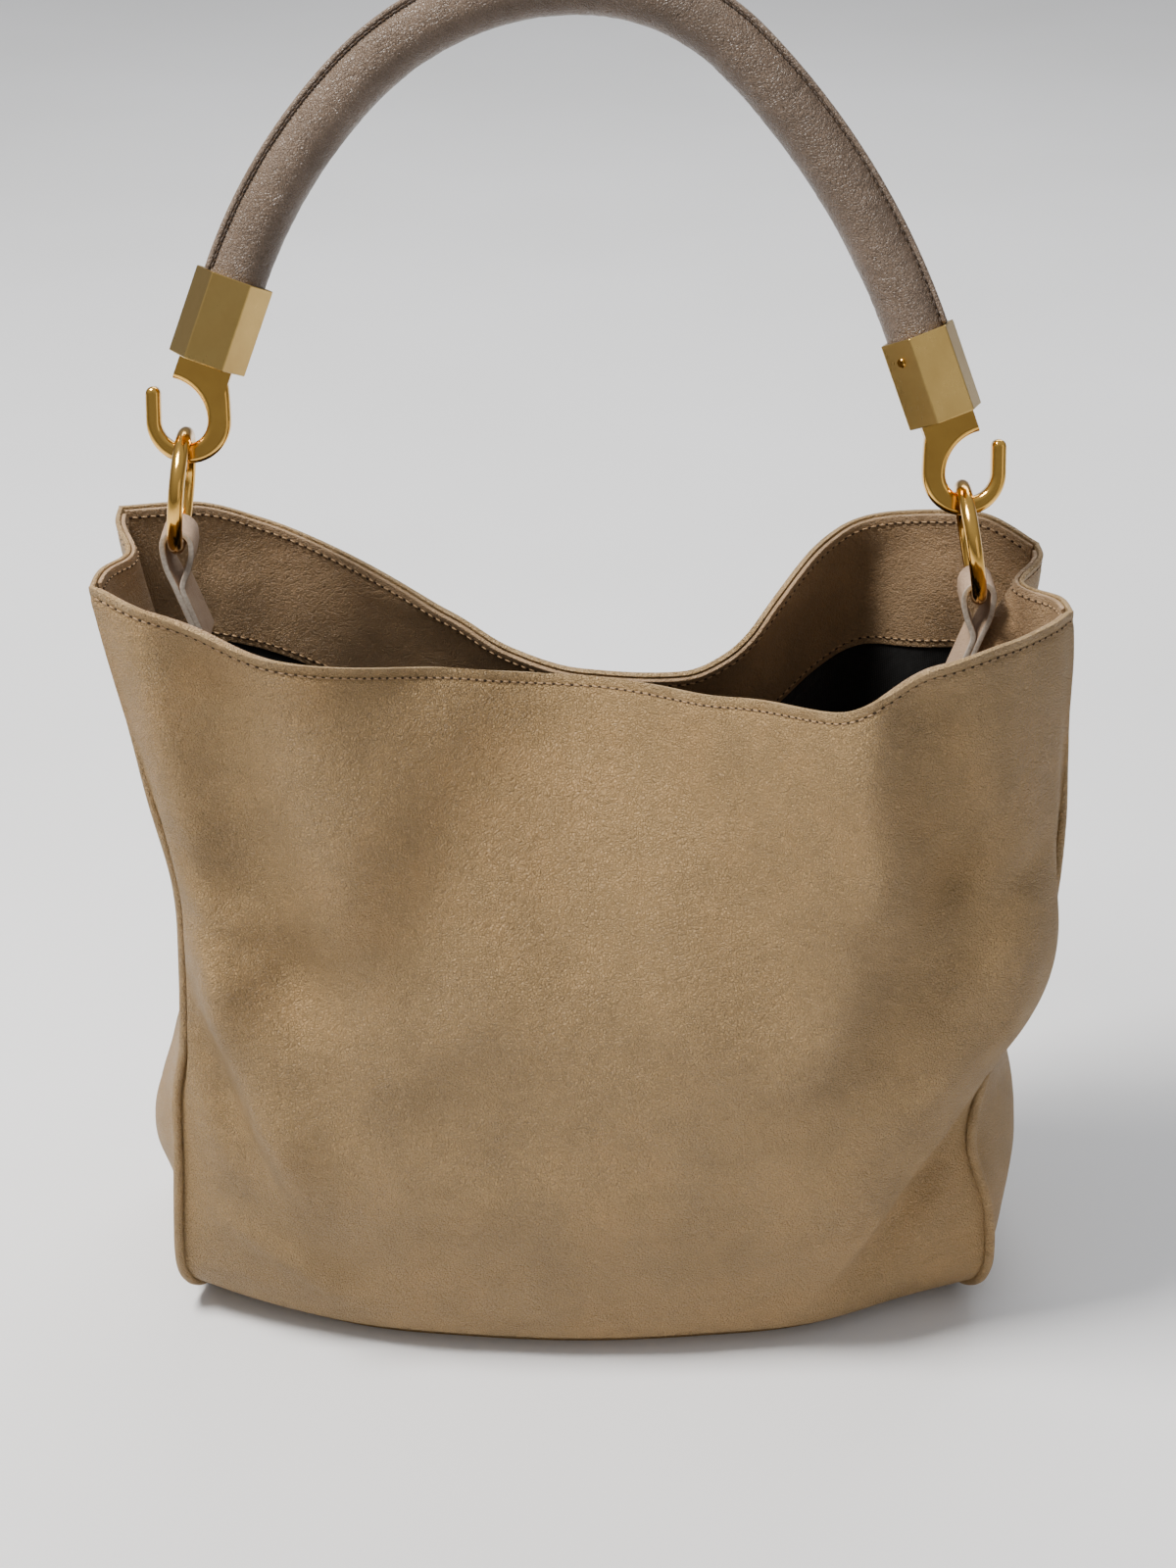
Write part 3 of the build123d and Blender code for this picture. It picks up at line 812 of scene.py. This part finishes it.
def gusset_surface(side, rows=150, columns=61):
    """Grid of points on the outside face of a side panel, from front seam to back."""
    sign = -1 if side == "left" else 1
    end = 0 if side == "left" else -1
    edge = -1.0 if side == "left" else 1.0
    share = np.linspace(-1, 1, columns)
    front_top, back_top = front_wall["rim"](edge), back_wall["rim"](edge)
    dip = 3.5 * bump(share, 0, 0.5) - 1.2 * bump(share, 0.5, 0.25)
    top = (front_top + back_top) / 2 + share * (back_top - front_top) / 2 - dip
    heights = foot + np.linspace(0, 1, rows)[:, None] * (top - foot)[None, :]
    front_x = front_wall[side](heights)
    back_x = back_wall[side](heights)
    front_y = -front_wall["depths"][end](heights)
    back_y = back_wall["depths"][end](heights)
    mix = (share + 1) / 2
    seam_x = front_x * (1 - mix) + back_x * mix
    seam_y = front_y * (1 - mix) + back_y * mix
    fold_x = folds[side](heights)
    round_form = 1 - np.abs(share) ** 2.2
    sharp_form = (1 - np.abs(share)) ** 1.25
    inward = fade(heights, 110, 190)
    form = round_form * (1 - inward) + sharp_form * inward
    mouth_form = bump(share, 0.05, 0.38) * (1 - share**6)
    by_mouth = fade(top[None, :] - heights, 52, 6)
    form = form * (1 - by_mouth) + mouth_form * by_mouth
    x = seam_x + (fold_x - seam_x) * form
    points = np.stack([sign * x, seam_y, heights], -1)
    calm = (1 - share**4)[None, :] * fade(heights, foot, 40) * fade(top[None, :] - heights, 0, 30)
    lumps = soft_noise(points, 38, 5.5) * 2.4 + soft_noise(points, 17, 8.5) * 0.7
    points[..., 0] += lumps * calm
    return relax(points, 4)


def make_gusset(side):
    """Leather, facing, lining and stitches of one side panel."""
    sign = -1 if side == "left" else 1
    surface = outward_first(gusset_surface(side), sign, 0)
    skin = stitch_groove(rim_grid(surface), rim_stitch_drop, sign, 0)
    panel = shell(side + "_gusset_leather", skin, leather, [tan], wear_of(skin), edge=0.8)

    def layer(inset, top_drop, foot_drop, rows, trim):
        return band(inset_grid(surface, inset, sign, 0), top_drop, foot_drop, rows)[:, trim:-trim]

    strip = layer(facing_inset, 0.9, facing_height, 40, 5)
    inside = shell(
        side + "_gusset_facing_leather", strip, facing, [facing_leather, raw_edge], wear_of(strip, 3), 0.45
    )
    cloth = layer(lining_inset, facing_height - lining_tuck, np.inf, 70, 4)
    cover = shell(side + "_lining_cloth", cloth, lining, [black_textile])
    trim = slice(1, -1)
    inner_face = inset_grid(strip, facing, sign, 0)
    path, out = stitch_line(skin, rim_stitch_drop, sign, 0)
    outer_row = stitches(side + "_gusset_rim_stitching", path[3:-3], out[3:-3], tan_thread, painted_needle_hole_shade)
    path, out = stitch_line(inner_face, rim_stitch_drop - 0.9, -sign, 0)
    inner_row = stitches(side + "_gusset_facing_stitching", path[trim], out[trim], tan_thread, painted_needle_hole_shade)
    return {
        "leather": panel, "facing": inside, "lining": cover,
        "rows": (outer_row, inner_row), "skin": skin, "strip": strip, "cloth": cloth,
    }


gussets = {side: make_gusset(side) for side in ("left", "right")}


# ---- Base ----


def base_grid(height, inset, rows=40, columns=120):
    """Flat grid between the feet of the two walls."""
    across = np.linspace(-1, 1, columns)
    share = np.linspace(0, 1, rows)[:, None]
    feet = []
    for wall, surface in ((front_wall, front_surface), (back_wall, back_surface)):
        row = surface[0]
        row = row[np.argsort(row[:, 0])]
        x = np.interp(across, np.linspace(-1, 1, len(row)), row[:, 0])
        y = np.interp(across, np.linspace(-1, 1, len(row)), row[:, 1])
        feet.append((x * (1 - inset / mouth), y - wall["facing"] * inset))
    x = feet[0][0] * (1 - share) + feet[1][0] * share
    y = feet[0][1] * (1 - share) + feet[1][1] * share
    return np.stack([x, y, np.full_like(x, height)], -1)


base_boxes = {name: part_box(name) for name in ("base_panel", "base_board", "base_lining")}


def base_layer(name, node, inset, materials, edge):
    low, high = base_boxes[node]
    surface = base_grid(low.z / MM, inset)
    surface = surface if np.mean(grid_normals(surface)[..., 2]) < 0 else surface[:, ::-1]
    return shell(name, surface, (high.z - low.z) / MM, materials, edge=edge)


base_leather = base_layer("base_leather", "base_panel", -1.5, [tan], 0.8)
base_stiffener = base_layer("base_stiffener", "base_board", 6, [board_finish], 0.4)
base_cloth = base_layer("base_lining_cloth", "base_lining", 5, [black_textile], 0.3)


# ---- Piping round each side panel ----

cord_sides = 14
piping_radius = 2.15
piping_sinks = (190, 300)  # heights between which it sinks into the seam

def piping_path(side):
    """Down the front seam, along the foot and up the back seam."""
    top_front = front_wall["rim"](-1.0 if side == "left" else 1.0) - 1
    top_back = back_wall["rim"](-1.0 if side == "left" else 1.0) - 1
    sign = -1 if side == "left" else 1
    paths = []
    for wall, top in ((front_wall, top_front), (back_wall, top_back)):
        low = np.linspace(0, 1, 30) ** 2 * 30 + foot
        z = np.concatenate([low, np.linspace(34, top, 90)])
        x, y = seam_line(wall, side, z)
        sunk = fade(z, *piping_sinks)
        out, ahead = 1.9 - 3.2 * sunk, 0.3 - 1.6 * sunk
        paths.append(np.stack([x + sign * out, y + wall["facing"] * ahead, z], 1))
    down = paths[0][::-1]
    along = np.linspace(down[-1], paths[1][0], 22)[1:-1]
    along[:, 2] = foot
    path = smooth_path(np.concatenate([down, along, paths[1]]), 6)
    path[:, 2] = np.maximum(path[:, 2], 2.0)
    return path


def make_piping(side):
    path = piping_path(side)
    wobble = np.array([noise.noise(Vector(p) / 9) for p in path])
    slim = 1 - 0.45 * fade(path[:, 2], *piping_sinks)
    radii = ((piping_radius + 0.12 * wobble) * slim)[:, None] * np.ones((1, cord_sides))
    wear = np.full(len(path) * cord_sides, 0.25)
    return tube(side + "_piping_cord", path, radii, [tan], sides=cord_sides, wear=wear)


pipings = {side: make_piping(side) for side in ("left", "right")}


# ---- Tabs: a strap folded over the foot of each ring ----

strap = 2.4
tab_width = 20
ring_tilts = {"left": 6, "right": 10}


def make_tab(side):
    """Two layers of strap run down inside the bag from a fold round the ring's wire."""
    sign = -1 if side == "left" else 1
    low, high = (corner / MM for corner in ring_boxes[side])
    tilt = radians(ring_tilts[side])
    wire = 3.0
    middle_x = (low.x + high.x) / 2
    middle_z = (low.z + high.z) / 2
    ring = (high.z - low.z) / 2 - wire
    foot_x = middle_x + sign * ring * sin(tilt)
    foot_z = middle_z - ring
    fold = 4.7 + strap / 2
    up = 2.1
    outline = [(9.4, -39.7), (4.5, -25.5), (0.9, -15.2), (4.0, -8.0), (fold * 0.93, -3.0), (fold, up)]
    for step in range(1, 12):
        angle = pi * step / 12
        outline.append((fold * cos(angle), up + fold * sin(angle)))
    outline += [(-fold, up), (-fold * 0.93, -3.0), (-4.6, -8.0), (-1.9, -14.4), (1.9, -25.0), (6.9, -39.9)]
    x, z = np.array(outline).T
    lengths = np.concatenate([[0], np.cumsum(np.hypot(np.diff(x), np.diff(z)))])
    stops = np.linspace(0, lengths[-1], 90)
    x = np.interp(stops, lengths, x)
    z = np.interp(stops, lengths, z)
    for _ in range(4):
        x[1:-1] = 0.5 * x[1:-1] + 0.25 * (x[2:] + x[:-2])
        z[1:-1] = 0.5 * z[1:-1] + 0.25 * (z[2:] + z[:-2])
    share = np.abs(stops / lengths[-1] * 2 - 1)
    wide = tab_width / 2 * (0.86 + 0.14 * fade(share, 0.2, 0.7))
    across = np.linspace(-1, 1, 17)
    points = np.zeros((len(stops), len(across), 3))
    points[..., 0] = (foot_x - sign * x)[:, None]
    points[..., 1] = across[None, :] * wide[:, None]
    points[..., 2] = (foot_z + z)[:, None]
    curl = 0.35 * (across**2)[None, :] * (1 - share)[:, None]
    points[..., 2] -= curl
    normals = grid_normals(points)
    middle = np.array([foot_x, 0, foot_z + up])
    crown = points[len(stops) // 2, 8] - middle
    if np.dot(normals[len(stops) // 2, 8], crown) < 0:
        points = points[:, ::-1]
        normals = grid_normals(points)
    points = points + normals * strap / 2
    return shell(
        side + "_ring_tab", points, strap, [tab_leather, raw_edge],
        np.full(points.shape[:2], 0.2), edge=0.5, edge_material=1,
    )


tabs = {side: make_tab(side) for side in ("left", "right")}


# ---- Handle: padded leather tube with a stitched welt ----

handle_radius = 12.1
cover_thickness = 1.6
cover_sides = 72
cover_step = 1.6
welt_radius = 1.25
seam_step = 1.2
welt_turn = radians(35)
ferrule_tilt = radians(20)
knee = radians(45)
apex = 549
lean_back = radians(18)
hinge_points = (np.array([-156.0, 0, 357]), np.array([153.0, 0, 335]))
leg_rims = (np.array([-133.1, 0, 438.7]), np.array([130.5, 0, 416.7]))
tuck = 20


def handle_leg(rim, sign, outward):
    """Points up one leg: straight out of the ferrule, a wide arc and a tight one."""
    across = np.array([-sign, 0, 0])
    up = np.array([0, 0, 1.0])
    axis = across * sin(ferrule_tilt) + up * cos(ferrule_tilt)
    side = -across * cos(ferrule_tilt) + up * sin(ferrule_tilt)
    span = abs(rim[0])
    rise = apex - rim[2]
    a, b = cos(ferrule_tilt) - cos(knee), cos(knee)
    c, d = sin(knee) - sin(ferrule_tilt), 1 - sin(knee)
    wide = (span * d - b * rise) / (a * d - b * c)
    tight = (a * rise - c * span) / (a * d - b * c)
    start = rim + side * outward
    points = [start - axis * length for length in np.linspace(tuck, 0, 8, endpoint=False)]
    reach = wide + outward
    for angle in np.linspace(ferrule_tilt, knee, 44, endpoint=False):
        step = across * reach * (cos(ferrule_tilt) - cos(angle)) + up * reach * (
            sin(angle) - sin(ferrule_tilt)
        )
        points.append(start + step)
    bend = start + across * reach * a + up * reach * c
    reach = tight + outward
    for angle in np.linspace(knee, pi / 2, 44, endpoint=False):
        step = across * reach * (cos(knee) - cos(angle)) + up * reach * (sin(angle) - sin(knee))
        points.append(bend + step)
    return points


def lean(points):
    """Turns points back with the handle about the line through both rings."""
    start, end = hinge_points
    turn = Matrix.Rotation(-lean_back, 3, Vector(end - start))
    moved = (np.asarray(points) - start) @ np.array(turn).T
    return moved + start


def handle_line(outward=0.0):
    left = handle_leg(leg_rims[0], -1, outward)
    right = handle_leg(leg_rims[1], 1, outward)
    return np.array(left + right[::-1])


def even_path(path, step):
    lengths = lengths_along(path)
    return points_at(np.linspace(0, lengths[-1], int(lengths[-1] / step) + 1), lengths, path)


def make_handle():
    """Cover with fine wrinkles across it, welt, stitches and the core inside."""
    path = smooth_path(even_path(handle_line(), cover_step), 10)
    sides = cover_sides
    angles = np.linspace(0, 2 * pi, sides, endpoint=False)
    count = len(path)
    along = np.arange(count) * cover_step
    frontward = np.array([0, -1.0, 0])
    outward = np.cross(frontward, tangents_of(path))
    outward *= np.sign(np.sum(outward[count // 2] * (0, 0, 1)))
    radii = np.full((count, sides), handle_radius)
    inside = 0.5 - 0.5 * np.cos(angles)
    bare = fade(along, tuck + 1, tuck + 14) * fade(along, along[-1] - tuck - 1, along[-1] - tuck - 14)
    for row in range(count):
        for column in range(sides):
            spot = Vector((along[row] / 3.1, angles[column] * 1.3, 4.0))
            ripple = noise.noise(spot) * 0.16 + noise.noise(spot * 0.3 + Vector((9, 0, 0))) * 0.22
            radii[row, column] += bare[row] * ripple * (0.35 + 0.65 * inside[column])
    turn_to_welt = (angles + welt_turn + pi) % (2 * pi) - pi
    pinch = 0.55 * bump(turn_to_welt, 0, 0.11) - 0.3 * bump(np.abs(turn_to_welt), 0.24, 0.07)
    radii += bare[:, None] * pinch
    rings = (
        path[:, None]
        + outward[:, None] * (np.cos(angles)[None, :, None] * radii[..., None])
        - frontward[None, None] * (np.sin(angles)[None, :, None] * radii[..., None])
    )
    rings = lean(rings.reshape(-1, 3)).reshape(count, sides, 3)
    faces = grid_faces(count, sides, closed=True)
    wear = 0.35 * bump(turn_to_welt, 0, 0.14)[None, :] * np.ones((count, 1))
    cover = place_mesh("handle_leather_cover", rings.reshape(-1, 3), faces, [handle_leather], wear=wear)
    solid = cover.modifiers.new("thickness", "SOLIDIFY")
    solid.thickness = cover_thickness * MM
    solid.offset = -1
    fix_outward(cover, sides)

    reach = handle_radius + 0.75
    welt_path = even_path(handle_line(reach * cos(welt_turn)), seam_step)
    keep = int((tuck + 1.5) / seam_step)
    welt_path = welt_path[keep:-keep]
    welt_path[:, 1] -= reach * sin(welt_turn)
    welt = tube(
        "handle_welt_ridge", lean(welt_path), welt_radius, [handle_leather], sides=cord_sides,
        wear=np.full(len(welt_path) * cord_sides, 0.3),
    )
    rows = []
    for word, turn in (("front", 0.16), ("back", -0.16)):
        reach = handle_radius + 0.35
        line = even_path(handle_line(reach * cos(welt_turn + turn)), seam_step)[keep:-keep]
        line[:, 1] -= reach * sin(welt_turn + turn)
        middle = even_path(handle_line(), seam_step)
        middle = points_at(np.linspace(0, 1, len(line)), np.linspace(0, 1, len(middle)), middle)
        line, middle = lean(line), lean(middle)
        out = line - middle
        tangents = tangents_of(line)
        out -= tangents * np.sum(out * tangents, axis=1, keepdims=True)
        rows.append(
            stitches(
                "handle_" + word + "_stitching", line, unit(out), dark_thread, painted_needle_hole_shade,
                length=2.2, thick=0.42, lift=0.16, pitch=3.4,
            )
        )
    core = tube("handle_core_filling", lean(path), handle_radius - 1.75, [filling_finish], sides=32)
    return cover, welt, rows, core


def fix_outward(piece, sides):
    """Makes a closed ring mesh face outward before its thickness goes inward."""
    mesh = piece.data
    first = len(mesh.vertices) // sides // 2 * sides
    ring = [mesh.vertices[first + i].co for i in range(sides)]
    centre = sum(ring, Vector()) / sides
    face = mesh.polygons[len(mesh.polygons) // 2]
    if face.normal.dot(face.center - centre) < 0:
        mesh.flip_normals()


handle_cover, handle_welt, handle_rows, handle_core = make_handle()


# ---- Metal: the CAD's own rings, hooks, ferrules, pins and nuts ----


def finish_node(name, material):
    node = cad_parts[name]
    for spot in node.material_slots:
        spot.material = material
    if not node.material_slots:
        node.data.materials.append(material)


for side in ("left", "right"):
    for part in ("_ring", "_hook", "_ferrule_pin", "_hook_nut"):
        finish_node(side + part, gold)
    finish_node(side + "_ferrule", satin_gold)


# ---- Bodies and replaced nodes ----


def settle(piece, body, slot_name, *nodes):
    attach(piece, body)
    if nodes:
        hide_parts(*nodes)


for word, wall in (("front", front), ("back", back)):
    settle(wall["leather"], "bag", "tan_leather", word + "_panel")
    settle(wall["facing"], "bag", "facing_leather", word + "_facing")
    settle(wall["lining"], "bag", "black_textile", word + "_lining")
    for row in wall["rows"]:
        settle(row, "bag", "tan_leather")

for side, gusset in gussets.items():
    settle(gusset["leather"], "bag", "tan_leather", side + "_gusset")
    settle(gusset["facing"], "bag", "facing_leather", side + "_gusset_facing")
    settle(gusset["lining"], "bag", "black_textile", side + "_lining")
    for row in gusset["rows"]:
        settle(row, "bag", "tan_leather")
    settle(pipings[side], "bag", "tan_leather", side + "_piping")
    settle(tabs[side], "bag", "tab_leather", side + "_tab")

settle(base_leather, "bag", "tan_leather", "base_panel")
settle(base_stiffener, "bag", "board", "base_board")
settle(base_cloth, "bag", "black_textile", "base_lining")
settle(handle_cover, "handle", "handle_leather", "handle_cover")
settle(handle_welt, "handle", "handle_leather", "handle_welt")
settle(handle_core, "handle", "cord_filling", "handle_core")
for row in handle_rows:
    settle(row, "handle", "handle_leather")


# ---- Floor, lights and camera ----


def make_floor():
    size = 25.0
    mesh = bpy.data.meshes.new("floor")
    corners = [(-size, -size, 0), (size, -size, 0), (size, size, 0), (-size, size, 0)]
    mesh.from_pydata(corners, [], [(0, 1, 2, 3)])
    floor = bpy.data.objects.new("floor", mesh)
    bpy.context.scene.collection.objects.link(floor)
    paint = Paint("floor_finish")
    cloudy = paint.noise(3, 3)
    paint.wire(
        paint.ramp(cloudy, (0.3, (0.8, 0.8, 0.8)), (0.7, (0.85, 0.85, 0.86))),
        paint.shader.inputs["Base Color"],
    )
    paint.set(roughness=0.75)
    mesh.materials.append(paint.material)


def area_light(name, place, target, size, power, colour):
    light = bpy.data.lights.new(name, "AREA")
    light.shape = "RECTANGLE"
    light.size, light.size_y = size
    light.energy = power
    light.color = colour
    lamp = bpy.data.objects.new(name, light)
    lamp.location = place
    lamp.rotation_euler = (Vector(target) - Vector(place)).to_track_quat("-Z", "Y").to_euler()
    bpy.context.scene.collection.objects.link(lamp)


def make_lights():
    middle = (0, 0, 0.25)
    area_light("key", (-0.72, -0.22, 1.85), middle, (0.6, 0.5), 64, (1, 0.97, 0.93))
    area_light("fill", (1.3, -1.3, 0.8), middle, (1.0, 1.0), 2, (1, 0.95, 0.9))
    area_light("back", (0.3, 1.5, 1.6), middle, (1.6, 0.7), 22, (0.95, 0.97, 1))
    world = bpy.data.worlds.new("studio")
    bpy.context.scene.world = world
    world.use_nodes = True
    tree = world.node_tree
    place = tree.nodes.new("ShaderNodeTexCoord")
    split = tree.nodes.new("ShaderNodeSeparateXYZ")
    ramp = tree.nodes.new("ShaderNodeValToRGB")
    tree.links.new(place.outputs["Generated"], split.inputs[0])
    tree.links.new(split.outputs["Z"], ramp.inputs["Fac"])
    ramp.color_ramp.elements[0].position = 0.0
    ramp.color_ramp.elements[0].color = (0.36, 0.35, 0.34, 1)
    ramp.color_ramp.elements[1].position = 0.7
    ramp.color_ramp.elements[1].color = (1.0, 1.02, 1.06, 1)
    background = tree.nodes["Background"]
    tree.links.new(ramp.outputs["Color"], background.inputs["Color"])
    background.inputs["Strength"].default_value = 0.48


def make_camera():
    """The view of the photograph: from the front, looking down on the open mouth."""
    elevation = radians(28.3)
    distance = 1.232
    target = Vector((0.0025, 0, 0.227))
    place = target + distance * Vector((0, -cos(elevation), sin(elevation)))
    data = bpy.data.cameras.new("camera")
    data.lens = 68.9
    data.sensor_width = 36
    camera = bpy.data.objects.new("camera", data)
    camera.location = place
    camera.rotation_euler = (target - place).to_track_quat("-Z", "Y").to_euler()
    bpy.context.scene.collection.objects.link(camera)
    bpy.context.scene.camera = camera


make_floor()
make_lights()
make_camera()
